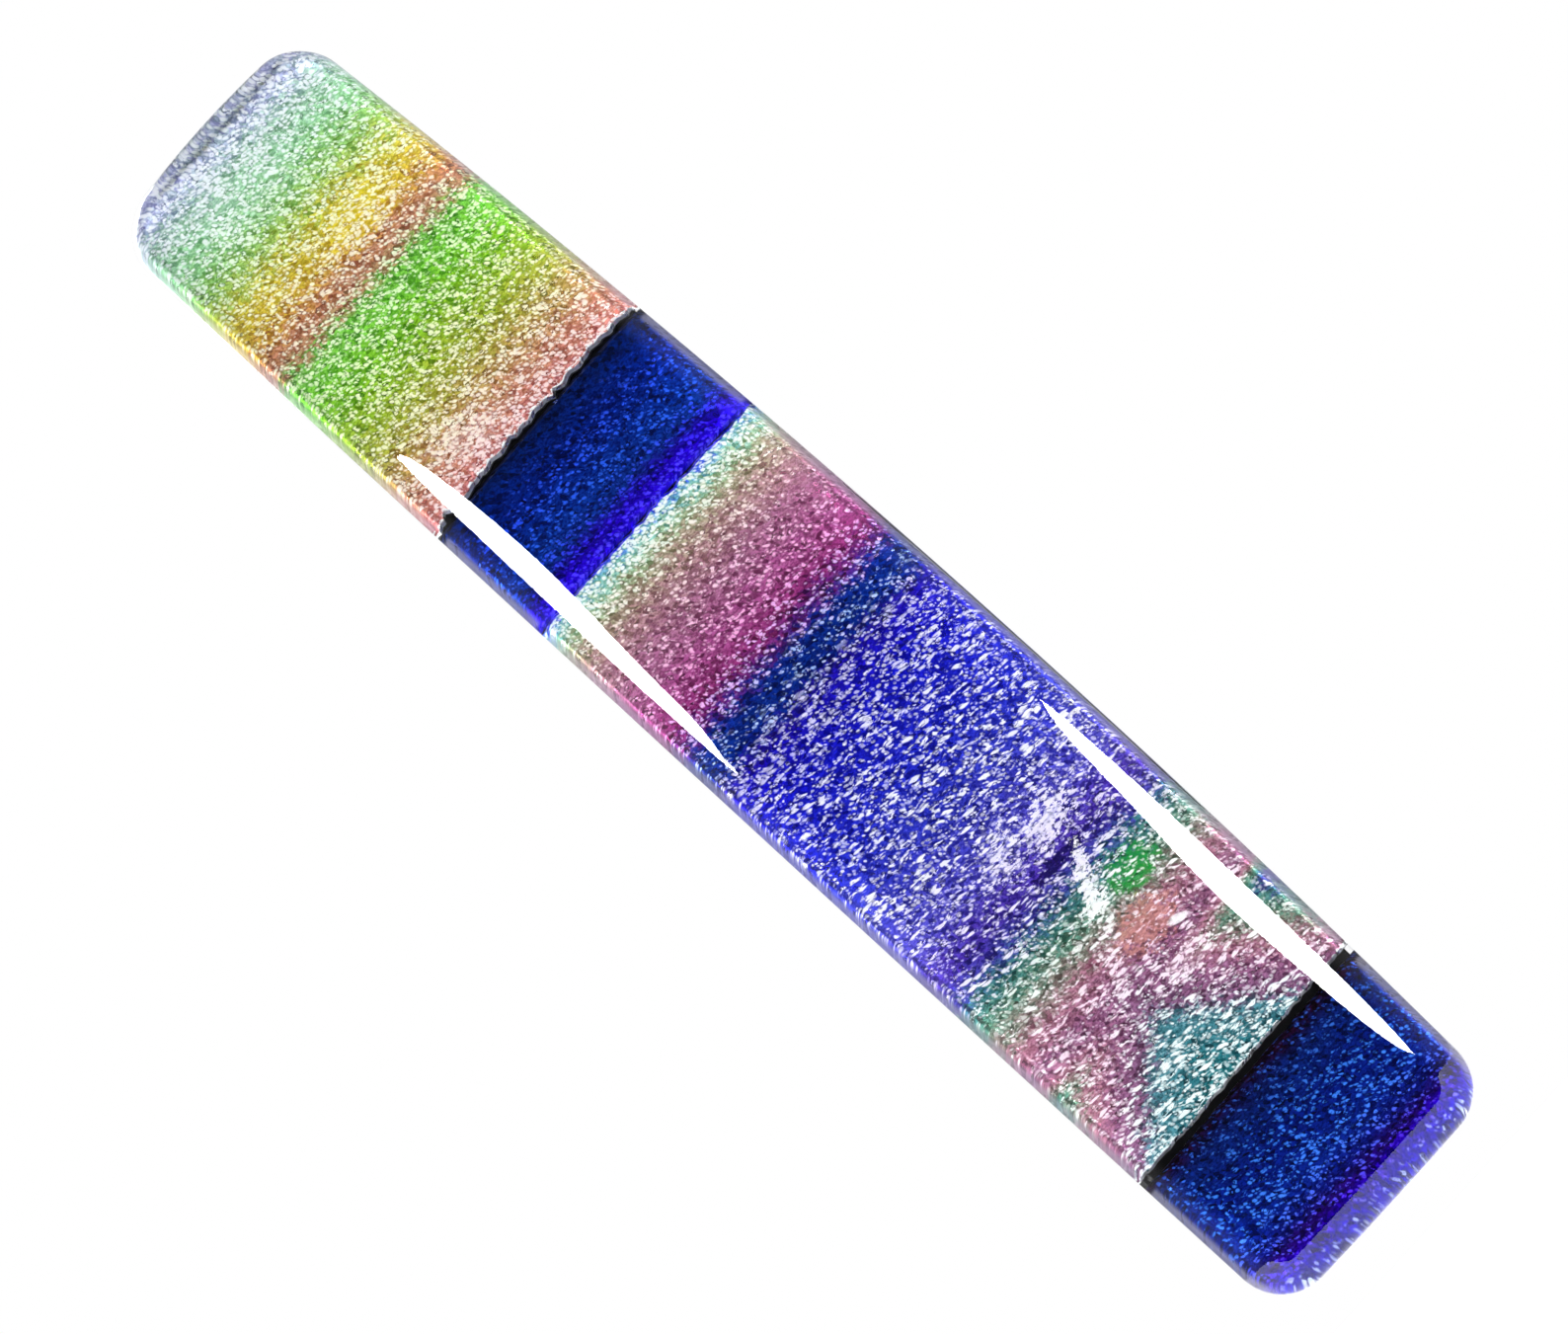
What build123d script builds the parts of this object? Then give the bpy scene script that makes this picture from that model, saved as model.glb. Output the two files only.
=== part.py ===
from build123d import *
import os

# Mezuzah case: a fused dichroic glass bar bonded to an aluminium channel that holds a rolled
# parchment scroll. The channel slides down over a steel back plate, which two screws hold to
# the doorpost. Push-fit caps close the channel's ends, and the top one pulls out for the scroll.
#
# Millimetres. +Z is up along the bar, the front faces -Y and the doorpost is the plane Y = 0.
# The origin lies on the doorpost, midway between the two screw holes. A "depth" is a
# distance in front of the doorpost, so a depth of d is the plane Y = -d.

# ---------------------------------------------------------------- glass bar, seen from the front
glass_length = 127.0
glass_left = 12.1  # from the centreline to the left edge, at the ends of the bar
glass_left_bow = 0.15  # how far that edge swells at mid length
glass_right_top = 10.2
glass_right_bottom = 11.8
glass_right_bow = 1.95
glass_corner = 4.2

# ---------------------------------------------------------------- glass bar, layer by layer
base_thickness = 1.6
strip_thickness = 1.2
glass_thickness = 7.0
glass_crown = 3.0  # how much lower the front is at the long edges than along the middle
glass_front_round = 3.0
glass_back_round = 0.7
glass_wrap = 1.0  # clear glass round the edge of the coloured layers

# Seams between the coloured strips: height on the centreline, and the rise towards +X.
gold_bottom = 27.4
navy_upper_top = 26.4
navy_upper_bottom = 15.5
violet_bottom = -48.2
navy_lower_top = -49.2
seam_rise = 0.65  # over the width of the bar, on the seams that slope

# ---------------------------------------------------------------- channel, an extrusion
channel_length = 112.0
channel_width = 18.0
channel_wall = 1.3
channel_corner = 1.4
channel_back = 0.15  # depth of its rear face, clear of the doorpost
channel_front = 13.0  # depth of its front face, which carries the glass
lip_thickness = 1.0
lip_gap = 12.0  # between the two lips that hook behind the plate
rib_depth = 2.65  # depth at which the ribs in front of the plate begin
rib_thickness = 0.75
rib_height = 0.9

# ---------------------------------------------------------------- back plate, pressed sheet
plate_sheet = 1.2
plate_stand_off = 1.3  # depth of its rear face, held off the doorpost by two dimples
plate_width = 14.9
plate_top = 54.0
plate_top_corner = 2.0
foot_top = -57.7
foot_reach = 8.0  # depth of the foot's front edge
foot_inner_bend = 0.8
screw_spacing = 80.0
screw_hole_r = 2.1
screw_land = 0.7  # straight wall of the hole, before its countersink
screw_sink_r = 2.7
dimple_rear_r = 4.8
dimple_front_r = 5.5
recess_floor_r = 3.7
recess_mouth_r = 4.4

# ---------------------------------------------------------------- end caps, one moulding for both ends
cap_flange = 1.6
cap_rear = 3.5  # depth of its rear edge, in front of the plate and its ribs
cap_play = 0.1  # between the plug and the channel, on each side
plug_length = 6.0
plug_wall = 1.2
plug_lead_in = 0.5
flange_round = 0.4
grip_length = 10.0
grip_width = 2.2
grip_height = 1.5
grip_depth = 10.3
grip_round = 0.5

# ---------------------------------------------------------------- bonding strips
bond_length = 100.0
bond_width = 5.0
bond_thickness = 0.5
bond_offset = 5.6

# ---------------------------------------------------------------- scroll in its sleeve
scroll_length = 80.0
scroll_sheet = 0.28
scroll_pitch = 0.44  # from one turn of the sheet to the next
scroll_outer_r = 3.8
scroll_half_turns = 10
sleeve_outer_r = 4.3
sleeve_inner_r = 4.0
sleeve_length = 86.0
sleeve_bottom = -49.9
scroll_lift = 1.0  # of the parchment above the sleeve's lower end
scroll_depth = 7.1

# ---------------------------------------------------------------- worked out from the above
half_glass = glass_length / 2
glass_back = channel_front + bond_thickness
strip_back = glass_back + base_thickness
coat_depth = strip_back + strip_thickness
glass_front = glass_back + glass_thickness
half_channel = channel_length / 2
inner_half_width = channel_width / 2 - channel_wall
inner_front = channel_front - channel_wall
plate_front = plate_stand_off + plate_sheet


def facing(depth):
    """The plane at that depth, seen from the front: its x is +X, its y is +Z, and extruding goes forward."""
    return Plane.XZ.offset(depth)


def across(shape_x, depth_from, depth_to):
    """A rectangle of the XY section, shape_x wide about the centreline, between two depths."""
    middle = -(depth_from + depth_to) / 2
    return Pos(0, middle) * Rectangle(shape_x, depth_to - depth_from)


# ================================================================ glass bar


def glass_outline(inset):
    """The bar's outline, taken in all round: one long edge nearly straight and the other bowed."""
    top = half_glass - inset
    left = -glass_left + inset
    right_top = glass_right_top - inset
    right_bottom = glass_right_bottom - inset
    right_middle = (right_top + right_bottom) / 2 + glass_right_bow
    edges = [
        Line((left, -top), (right_bottom, -top)),
        ThreePointArc((right_bottom, -top), (right_middle, 0), (right_top, top)),
        Line((right_top, top), (left, top)),
        ThreePointArc((left, top), (left - glass_left_bow, 0), (left, -top)),
    ]
    outline = make_face(edges)
    return fillet(outline.vertices(), glass_corner - inset)


def crown_cylinder():
    """A long cylinder along Z whose skin is the crowned front of the bar."""
    half_width = glass_left
    radius = (half_width**2 + glass_crown**2) / (2 * glass_crown)
    axis_y = -(glass_front - radius)
    return Pos(0, axis_y, 0) * Cylinder(radius, 2 * glass_length)


def glass_body():
    """The whole fused bar as one lump: the outline in depth, crowned in front, with its edges rounded."""
    lump = extrude(facing(glass_back) * glass_outline(0), glass_thickness) & crown_cylinder()
    front = lump.faces().sort_by(Axis.Y)[0]
    lump = fillet(front.edges(), glass_front_round)
    back = lump.faces().sort_by(Axis.Y)[-1]
    return fillet(back.edges(), glass_back_round)


def core_layer(depth, thickness):
    """A layer of the coloured core, which lies inside the clear glass."""
    return extrude(facing(depth) * glass_outline(glass_wrap), thickness)


def glass_strip(top, bottom, top_rise=0.0, bottom_rise=0.0):
    """A strip of coated glass between two seams, each given by its height and its rise towards +X."""
    reach = glass_left + glass_right_bow + 1
    corners = [
        (-reach, bottom - bottom_rise / 2),
        (reach, bottom + bottom_rise / 2),
        (reach, top + top_rise / 2),
        (-reach, top - top_rise / 2),
    ]
    window = extrude(facing(strip_back) * make_face(Polyline(*corners, close=True)), strip_thickness)
    return core_layer(strip_back, strip_thickness) & window


def glass_parts():
    """The fused laminate, layer by layer. The clear glass fills what the other layers leave."""
    core = {
        "black_base_glass": core_layer(glass_back, base_thickness),
        "dichroic_strip_1_gold": glass_strip(half_glass, gold_bottom, bottom_rise=seam_rise),
        "dichroic_strip_2_navy": glass_strip(navy_upper_top, navy_upper_bottom),
        "dichroic_strip_3_violet": glass_strip(navy_upper_bottom, violet_bottom, bottom_rise=seam_rise),
        "dichroic_strip_4_navy": glass_strip(navy_lower_top, -half_glass, top_rise=seam_rise),
    }
    clear = glass_body()
    for layer in core.values():
        clear = clear - layer
    return {"clear_cap_glass": clear, **core}


# ================================================================ case behind the glass


def scroll_channel():
    """C-section extrusion: a front wall for the glass, and lips and ribs that run on the back plate."""
    outer = Pos(0, -(channel_back + channel_front) / 2) * RectangleRounded(
        channel_width, channel_front - channel_back, channel_corner
    )
    chamber = across(2 * inner_half_width, channel_back + lip_thickness, inner_front)
    slot = across(lip_gap, 0, channel_back + lip_thickness)
    ribs = across(2 * inner_half_width, rib_depth, rib_depth + rib_thickness)
    ribs = ribs - across(2 * (inner_half_width - rib_height), rib_depth, rib_depth + rib_thickness)
    section = outer - chamber - slot + ribs
    return Pos(0, 0, -half_channel) * extrude(section, channel_length)


def bond_strip(side):
    """A strip of acrylic foam tape between the channel's front wall and the glass."""
    tape = Pos(side * bond_offset, 0) * RectangleRounded(bond_width, bond_length, 0.6)
    return extrude(facing(channel_front) * tape, bond_thickness)


def end_cap():
    """The top cap: a flange over the channel's end, a hollow plug inside it and a ridge to pull it by."""
    middle = -(cap_rear + channel_front) / 2
    plate = RectangleRounded(channel_width, channel_front - cap_rear, channel_corner)
    flange = extrude(Pos(0, middle) * plate, cap_flange)
    outer_rim = flange.faces().sort_by(Axis.Z)[-1].edges()
    flange = Pos(0, 0, half_channel) * fillet(outer_rim, flange_round)

    plug_width = 2 * (inner_half_width - cap_play)
    plug_section = across(plug_width, cap_rear, inner_front - cap_play)
    plug = Pos(0, 0, half_channel - plug_length) * extrude(plug_section, plug_length)
    lead_in = plug.faces().sort_by(Axis.Z)[0].edges()
    plug = chamfer(lead_in, plug_lead_in)
    hollow = across(plug_width - 2 * plug_wall, cap_rear + plug_wall, inner_front - cap_play - plug_wall)
    plug = plug - Pos(0, 0, half_channel - plug_length) * extrude(hollow, plug_length)

    grip = extrude(Pos(0, -grip_depth) * SlotOverall(grip_length, grip_width), grip_height)
    grip = fillet(grip.faces().sort_by(Axis.Z)[-1].edges(), grip_round)
    return flange + plug + Pos(0, 0, half_channel + cap_flange) * grip


# ================================================================ back plate


def plate_blank():
    """The sheet seen from its edge: a long flat plate whose lower end is bent forward into a foot."""
    outer_bend = foot_inner_bend + plate_sheet
    foot_bottom = foot_top - plate_sheet
    rear, front, reach = -plate_stand_off, -plate_front, -foot_reach
    bend_centre = Vector(front - foot_inner_bend, foot_top + foot_inner_bend)
    diagonal = Vector(1, -1).normalized()
    edges = [
        Line((rear, plate_top), (rear, bend_centre.Y)),
        ThreePointArc(
            (rear, bend_centre.Y), bend_centre + diagonal * outer_bend, (bend_centre.X, foot_bottom)
        ),
        Line((bend_centre.X, foot_bottom), (reach, foot_bottom)),
        Line((reach, foot_bottom), (reach, foot_top)),
        Line((reach, foot_top), (bend_centre.X, foot_top)),
        ThreePointArc(
            (bend_centre.X, foot_top), bend_centre + diagonal * foot_inner_bend, (front, bend_centre.Y)
        ),
        Line((front, bend_centre.Y), (front, plate_top)),
        Line((front, plate_top), (rear, plate_top)),
    ]
    blank = extrude(Plane.YZ * make_face(edges), plate_width / 2, both=True)
    corners = blank.edges().filter_by(Axis.Y).group_by(Axis.Z)[-1]
    return fillet(corners, plate_top_corner)


def round_taper(depth_from, r_from, depth_to, r_to, height):
    """A round solid about a screw's axis, from one depth and radius to another."""
    ends = [
        Pos(0, -depth, height) * Rot(90, 0, 0) * Circle(r)
        for depth, r in ((depth_from, r_from), (depth_to, r_to))
    ]
    return loft(ends, ruled=True)


def back_plate():
    """Pressed steel plate: each screw sits in a dimple that touches the doorpost and sinks its head."""
    plate = plate_blank()
    for height in (-screw_spacing / 2, screw_spacing / 2):
        plate = plate + round_taper(0, dimple_rear_r, plate_front, dimple_front_r, height)
        plate = plate - round_taper(plate_sheet, recess_floor_r, plate_front, recess_mouth_r, height)
        plate = plate - round_taper(screw_land, screw_hole_r, plate_sheet, screw_sink_r, height)
        plate = plate - round_taper(0, screw_hole_r, screw_land, screw_hole_r, height)
    return plate


# ================================================================ scroll


def scroll_parchment():
    """A sheet rolled into a spiral, drawn as half circles that each lose half a pitch of radius."""
    shift = scroll_pitch / 4
    outer, inner = [], []
    radius = scroll_outer_r
    for half_turn in range(scroll_half_turns):
        side = 1 if half_turn % 2 == 0 else -1
        centre = side * shift
        for edges, r in ((outer, radius), (inner, radius - scroll_sheet)):
            edges.append(ThreePointArc((centre + side * r, 0), (centre, side * r), (centre - side * r, 0)))
        radius = radius - scroll_pitch / 2
    ends = [Line(outer[0] @ 0, inner[0] @ 0), Line(outer[-1] @ 1, inner[-1] @ 1)]
    section = make_face(outer + inner + ends)
    roll = extrude(section, scroll_length)
    return Pos(0, -scroll_depth, sleeve_bottom + scroll_lift) * roll


def scroll_sleeve():
    """A clear film tube that keeps the parchment dry."""
    ring = Circle(sleeve_outer_r) - Circle(sleeve_inner_r)
    return Pos(0, -scroll_depth, sleeve_bottom) * extrude(ring, sleeve_length)


# ================================================================ assembly


def all_parts():
    """Every sub-part by its node name, in place."""
    top_cap = end_cap()
    return {
        **glass_parts(),
        "bond_strip_left": bond_strip(-1),
        "bond_strip_right": bond_strip(1),
        "scroll_channel": scroll_channel(),
        "end_cap_bottom": mirror(top_cap, about=Plane.XY),
        "end_cap_top": top_cap,
        "scroll_parchment": scroll_parchment(),
        "scroll_sleeve": scroll_sleeve(),
        "back_plate": back_plate(),
    }


os.makedirs("parts", exist_ok=True)
for name, shape in all_parts().items():
    shape.label = name
    export_step(shape, f"parts/{name}.step")
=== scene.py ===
import math
from collections import namedtuple

import bmesh
import bpy
import numpy as np
from mathutils import Matrix, Vector


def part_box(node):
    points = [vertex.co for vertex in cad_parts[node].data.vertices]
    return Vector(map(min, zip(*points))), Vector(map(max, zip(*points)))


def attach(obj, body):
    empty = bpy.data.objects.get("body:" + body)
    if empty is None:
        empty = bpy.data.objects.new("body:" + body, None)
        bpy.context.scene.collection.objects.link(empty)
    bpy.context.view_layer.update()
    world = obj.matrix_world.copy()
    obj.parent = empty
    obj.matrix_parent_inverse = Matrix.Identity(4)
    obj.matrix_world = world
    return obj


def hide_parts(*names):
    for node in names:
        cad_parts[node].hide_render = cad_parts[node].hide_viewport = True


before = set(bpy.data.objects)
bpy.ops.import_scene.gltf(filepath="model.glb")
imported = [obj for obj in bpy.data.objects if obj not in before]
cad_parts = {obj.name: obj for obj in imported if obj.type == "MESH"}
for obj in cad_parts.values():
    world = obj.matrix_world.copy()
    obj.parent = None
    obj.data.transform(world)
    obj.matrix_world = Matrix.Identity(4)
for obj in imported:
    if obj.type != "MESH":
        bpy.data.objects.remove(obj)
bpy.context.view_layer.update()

# Shapes below are worked out in millimetres. x runs across the bar, z up along it, and a depth is a
# distance in front of the doorpost, so that a point lies at (x, -depth, z).
MM = 0.001

# ================================================================ sizes, taken from the frame

glass_low, glass_high = (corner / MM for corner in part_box("clear_cap_glass"))
half_glass = glass_high.z
glass_back = -glass_high.y
glass_front = -glass_low.y
base_top = -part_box("black_base_glass")[0].y / MM
coat_depth = -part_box("dichroic_strip_3_violet")[0].y / MM

# The bar's plan: the distance of its long edges from the centreline at the bottom, middle and top.
left_edge = (-12.1, -12.25, -12.1)
right_edge = (11.8, 12.95, 10.2)
corner_radius = 4.2

dome_drop = 3.0  # how much lower the dome is at its long edges than along the middle
dome_half_width = 12.1
rim_inset = 2.6  # how far in the rounding of the rim reaches
rim_drop = 2.2  # how far down it reaches at most
back_round = 0.7
wrap = 1.0  # clear glass round the coloured layers
core_wrap = 0.6  # clear glass round the coated strips, which spread a little further than the base
rim_level = coat_depth + 0.1  # the lowest depth at which the rounding of the rim meets the side
bury = 0.02  # how far one fused layer sinks into the next, so that no air lies between them
spine_share = 0.9  # length of the dome's middle line, as a share of the straight part of the plan

droop_radius = 1.05  # the coated sheet's edges sag round this radius in the kiln

polish_wave = 0.02  # height of the waves that melting leaves in the front
seam_round = 0.3  # a cut edge softens round this radius
jag_spacing = 0.45  # between the jags of a cut edge
jag_reach = 14.0  # how far the jags run to both sides, past the bar's edges
uncut = 9.0  # stands for the distance to a cut edge where a strip has none
strip_columns = 97
fewest_rows = 40
mesh_step = 0.26  # height of a strip's quads
end_crowding = 1.25  # power that draws a strip's rows closer together at an end of the bar
merge_below = 0.001  # points closer together than this become one

# How many rings of points the clear glass has on its dome, rim, side and back edge.
dome_rings, rim_rings, side_rings, back_rings = 26, 20, 5, 8

seams = {  # bottom and top of each coated strip on the centreline, and the rise of each towards +x
    "dichroic_strip_1_gold": (27.4, half_glass - core_wrap, 0.65, 0.0),
    "dichroic_strip_2_navy": (15.5, 27.1, 0.0, 0.65),
    "dichroic_strip_3_violet": (-48.2, 15.5, 0.65, 0.0),
    "dichroic_strip_4_navy": (core_wrap - half_glass, -48.8, 0.0, 0.65),
}

# ================================================================ shader maths


# A Mix node has a socket called A for each kind of value: these numbers are the colour ones.
COLOUR_A, COLOUR_B, COLOUR_RESULT = 6, 7, 2


class Wire:
    """A socket that carries a number. Arithmetic on wires adds Math nodes to the material."""

    def __init__(self, paint, socket):
        self.paint = paint
        self.socket = socket

    def math(self, operation, *others):
        values = {i: value for i, value in enumerate((self, *others))}
        return self.paint.node("ShaderNodeMath", {"operation": operation}, values)

    def __add__(self, other):
        return self.math("ADD", other)

    __radd__ = __add__

    def __mul__(self, other):
        return self.math("MULTIPLY", other)

    __rmul__ = __mul__

    def __sub__(self, other):
        return self.math("SUBTRACT", other)

    def __rsub__(self, other):
        return self * -1.0 + other

    def __truediv__(self, other):
        return self.math("DIVIDE", other)

    def __abs__(self):
        return self.math("ABSOLUTE")

    def clamp(self):
        return self.math("MAXIMUM", 0.0).math("MINIMUM", 1.0)

    def rise(self, start, end):
        """0 below start and 1 above end, with a smooth step between. If start is above end, the other
        way round."""
        settings = {"interpolation_type": "SMOOTHSTEP"}
        values = {"Value": self, "From Min": start, "From Max": end}
        return self.paint.node("ShaderNodeMapRange", settings, values)


class Paint:
    """One material, and the nodes it is made of."""

    def __init__(self, name):
        self.material = bpy.data.materials.new(name)
        self.material.use_nodes = True
        self.tree = self.material.node_tree
        self.tree.nodes.clear()

    def node(self, kind, settings=None, values=None, out=0):
        """Adds a node: its settings first, a colour ramp's stops among them, then the values or wires
        of its sockets. Gives the wire of one output, or a list of wires if out is a list."""
        made = self.tree.nodes.new(kind)
        for key, setting in (settings or {}).items():
            if key == "stops":
                elements = made.color_ramp.elements
                while len(elements) < len(setting):
                    elements.new(1.0)
                for element, (position, colour) in zip(elements, setting):
                    element.position = position
                    element.color = colour
            else:
                setattr(made, key, setting)
        for key, value in (values or {}).items():
            if isinstance(value, Wire):
                self.tree.links.new(value.socket, made.inputs[key])
            else:
                made.inputs[key].default_value = value
        if isinstance(out, list):
            return [Wire(self, made.outputs[name]) for name in out]
        return Wire(self, made.outputs[out])

    def place(self):
        """The point on the object, in metres in the shared frame."""
        return self.node("ShaderNodeTexCoord", out="Object")

    def axes(self, vector):
        """The three numbers of a vector, as wires."""
        return self.node("ShaderNodeSeparateXYZ", None, {0: vector}, ["X", "Y", "Z"])

    def stretch(self, vector, cell):
        """The vector divided by the size of a cell along each axis, in millimetres, so that a cell is
        one unit. A size of 0 leaves that axis out."""
        scale = tuple(1 / (c * MM) if c else 0.0 for c in cell)
        return self.node("ShaderNodeVectorMath", {"operation": "MULTIPLY"}, {0: vector, 1: scale})

    def shifted(self, vector, cell, amount):
        """The vector moved about by up to half the amount, in millimetres, by noise of that cell
        size."""
        noise = self.noise(self.stretch(vector, cell), out="Color")
        middle = {0: noise, 1: (0.5, 0.5, 0.5)}
        centred = self.node("ShaderNodeVectorMath", {"operation": "SUBTRACT"}, middle)
        values = {0: centred, "Scale": amount * MM}
        shift = self.node("ShaderNodeVectorMath", {"operation": "SCALE"}, values)
        return self.node("ShaderNodeVectorMath", {"operation": "ADD"}, {0: vector, 1: shift})

    def noise(self, vector, detail=2.0, roughness=0.5, out="Fac"):
        values = {"Vector": vector, "Scale": 1.0, "Detail": detail, "Roughness": roughness}
        return self.node("ShaderNodeTexNoise", None, values, out)

    def cells(self, vector):
        """Voronoi cells: each cell's three random numbers, and the distance to the cell's middle."""
        values = {"Vector": vector, "Scale": 1.0}
        colour, distance = self.node("ShaderNodeTexVoronoi", None, values, ["Color", "Distance"])
        return self.axes(colour), distance

    def mix(self, factor, one, two, blend="MIX"):
        """Mixes two colours. Colours are tuples of three or wires."""
        one, two = (c if isinstance(c, Wire) else (*c, 1.0) for c in (one, two))
        settings = {"data_type": "RGBA", "blend_type": blend}
        values = {0: factor, COLOUR_A: one, COLOUR_B: two}
        return self.node("ShaderNodeMix", settings, values, COLOUR_RESULT)

    def ramp(self, factor, stops):
        """A colour ramp with stops of (position, colour with alpha), as its colour and its alpha."""
        return self.node("ShaderNodeValToRGB", {"stops": stops}, {0: factor}, ["Color", "Alpha"])

    def bump(self, height, distance, strength=1.0):
        """A normal from a height of 0 to 1 that stands for so many millimetres."""
        values = {"Height": height, "Distance": distance * MM, "Strength": strength}
        return self.node("ShaderNodeBump", None, values)

    def surface(self, **values):
        """The shader itself. Names are the Principled sockets', with _ for a space."""
        values = {key.replace("_", " "): value for key, value in values.items()}
        for key, value in values.items():
            if key.endswith("Color") and isinstance(value, tuple):
                values[key] = (*value, 1.0)
        shader = self.node("ShaderNodeBsdfPrincipled", None, values)
        self.node("ShaderNodeOutputMaterial", None, {"Surface": shader}, [])
        return self.material


class Room(Paint):
    """The room round the object: the same node methods, on a world."""

    def __init__(self, name):
        self.world = bpy.data.worlds.new(name)
        self.world.use_nodes = True
        self.tree = self.world.node_tree
        self.tree.nodes.clear()

    def shine(self, colour):
        shader = self.node("ShaderNodeBackground", None, {"Color": colour})
        self.node("ShaderNodeOutputWorld", None, {"Surface": shader}, [])
        return self.world


def swatch(number):
    """A colour written as on a swatch card, 0xRRGGBB, turned into the light it sends back."""
    shares = [(number >> bits & 255) / 255 for bits in (16, 8, 0)]
    return tuple(s / 12.92 if s <= 0.04045 else ((s + 0.055) / 1.055) ** 2.4 for s in shares)


# ================================================================ surfaces


def make_piece(name, points, faces, material, body, slot, *nodes, smooth_below=35, **marks):
    """A mesh piece from points in millimetres: doubled points merged, faces turned outwards, edges
    smooth below an angle in degrees. marks are numbers at the points, for the material to read."""
    mesh = bpy.data.meshes.new(name)
    mesh.from_pydata((np.asarray(points).reshape(-1, 3) * MM).tolist(), [], faces.tolist())
    for key, numbers in marks.items():
        mark = mesh.attributes.new(key, "FLOAT", "POINT")
        mark.data.foreach_set("value", np.asarray(numbers, np.float32).ravel())
    shell = bmesh.new()
    shell.from_mesh(mesh)
    bmesh.ops.remove_doubles(shell, verts=shell.verts, dist=merge_below * MM)
    bmesh.ops.dissolve_degenerate(shell, edges=shell.edges, dist=merge_below * MM)
    bmesh.ops.recalc_face_normals(shell, faces=shell.faces)
    shell.to_mesh(mesh)
    shell.free()
    mesh.shade_smooth()
    mesh.set_sharp_from_angle(angle=math.radians(smooth_below))
    mesh.materials.append(material)
    piece = bpy.data.objects.new(name, mesh)
    bpy.context.scene.collection.objects.link(piece)
    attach(piece, body)
    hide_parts(*nodes)
    return piece


def ring_faces(rows, count):
    """Quads between neighbouring closed rings of the same number of points."""
    row, column = np.meshgrid(np.arange(rows - 1), np.arange(count), indexing="ij")
    after = (column + 1) % count
    here, there = row * count, (row + 1) * count
    return np.stack([here + column, there + column, there + after, here + after], axis=-1).reshape(-1, 4)


def circle_of(edge):
    """Centre and radius of the circle through a long edge's bottom, middle and top points."""
    bottom, middle, top = edge
    numerator = bottom**2 + top**2 + 2 * half_glass**2 - 2 * middle**2
    centre_x = numerator / (2 * (bottom + top) - 4 * middle)
    centre_z = (bottom - top) * (2 * centre_x - bottom - top) / (4 * half_glass)
    return centre_x, centre_z, math.hypot(middle - centre_x, centre_z)


def edge_x(edge, inset, z):
    """x at height z of a long edge that is taken in by the inset: a circle of smaller radius about the
    same centre."""
    centre_x, centre_z, radius = circle_of(edge)
    side = math.copysign(1.0, edge[1])
    return centre_x + side * np.sqrt((radius - inset) ** 2 - (z - centre_z) ** 2)


def edge_angle(edge, z):
    """The direction outwards from a long edge at height z, as an angle from +x, anticlockwise."""
    centre_x, centre_z, _ = circle_of(edge)
    return np.arctan2(z - centre_z, edge_x(edge, corner_radius, z) - centre_x) % (2 * math.pi)


def plan_stations(long_count=110, short_count=16, corner_count=12):
    """Stations round the plan, anticlockwise from the front: a foot on the outline taken in by the corner
    radius, and the direction outwards there. The outline taken in by any inset is then the foot plus
    the direction times what is left of the corner radius, and each corner's foot is its centre."""
    inner = half_glass - corner_radius
    z = np.linspace(-inner, inner, long_count)
    left = edge_x(left_edge, corner_radius, z)
    right = edge_x(right_edge, corner_radius, z)
    turn_left = edge_angle(left_edge, z)
    turn_right = edge_angle(right_edge, z)
    up, down = math.pi / 2, 3 * math.pi / 2

    def corner(x, height, start, end):
        turn = np.linspace(start, end, corner_count + 2)[1:-1]
        return np.full(corner_count, x), np.full(corner_count, height), turn

    def end(x_start, x_end, height, turn):
        x = np.linspace(x_start, x_end, short_count)
        return x, np.full(short_count, height), np.full(short_count, turn)

    runs = [
        (right, z, turn_right),
        corner(right[-1], inner, turn_right[-1], up),
        end(right[-1], left[-1], inner, up),
        corner(left[-1], inner, up, turn_left[-1]),
        (left[::-1], z[::-1], turn_left[::-1]),
        corner(left[0], -inner, turn_left[0], down),
        end(left[0], right[0], -inner, down),
        corner(right[0], -inner, down, turn_right[0]),
    ]
    return [np.concatenate(part) for part in zip(*runs)]


def dome(x):
    """Depth of the domed front: a circle about an axis along z, through the apex and the long edges."""
    radius = (dome_half_width**2 + dome_drop**2) / (2 * dome_drop)
    return glass_front - radius + np.sqrt(radius**2 - np.clip(x, -radius, radius) ** 2)


def fire_polish(x, z):
    """The slow waves that melting leaves in glass: three crossing sine waves of a few hundredths of a
    millimetre."""
    broad = np.sin(z / 6.1 + 0.35 * x) + np.sin(z / 3.3 - 0.21 * x + 1.3)
    return polish_wave * (0.5 * broad + 0.3 * np.sin(0.55 * x + z / 9.0))


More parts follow.
